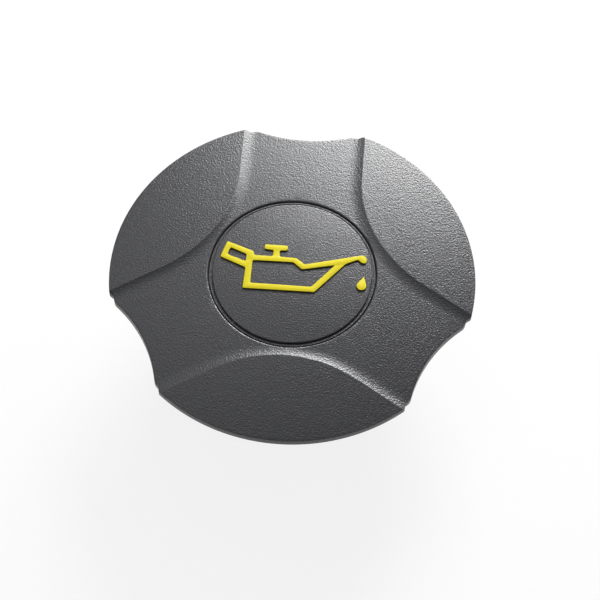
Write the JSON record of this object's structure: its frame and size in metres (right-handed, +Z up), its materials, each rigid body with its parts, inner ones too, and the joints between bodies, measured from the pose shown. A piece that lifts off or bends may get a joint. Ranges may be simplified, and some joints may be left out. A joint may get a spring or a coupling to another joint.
{
  "type": "oil filler cap",
  "caption": "Lobed round oil filler cap with a yellow oil-can sign on its disc, a quarter-turn plug and a flat rubber seal.",
  "frame": {"origin": "centre of the sealing ring's underside, the face that the filler neck seats on, on the cap's axis", "axes": "+Z up along the cap's axis, out of the engine; the sign reads upright with +Y away from the reader and +X to their right; one scallop lies at +Y and one lobe at -Y"},
  "size_m": [0.074, 0.0718, 0.0294],
  "materials": {
    "moulding": "fine spark-eroded grain",
    "symbol": "smooth",
    "seal": "smooth matt"
  },
  "bodies": {
    "root": {"grip": "moulding", "centre_disc": "moulding", "oil_can_symbol": "symbol", "oil_drop_symbol": "symbol", "bayonet_plug": "moulding", "sealing_ring": "seal"}
  },
  "joints": []
}
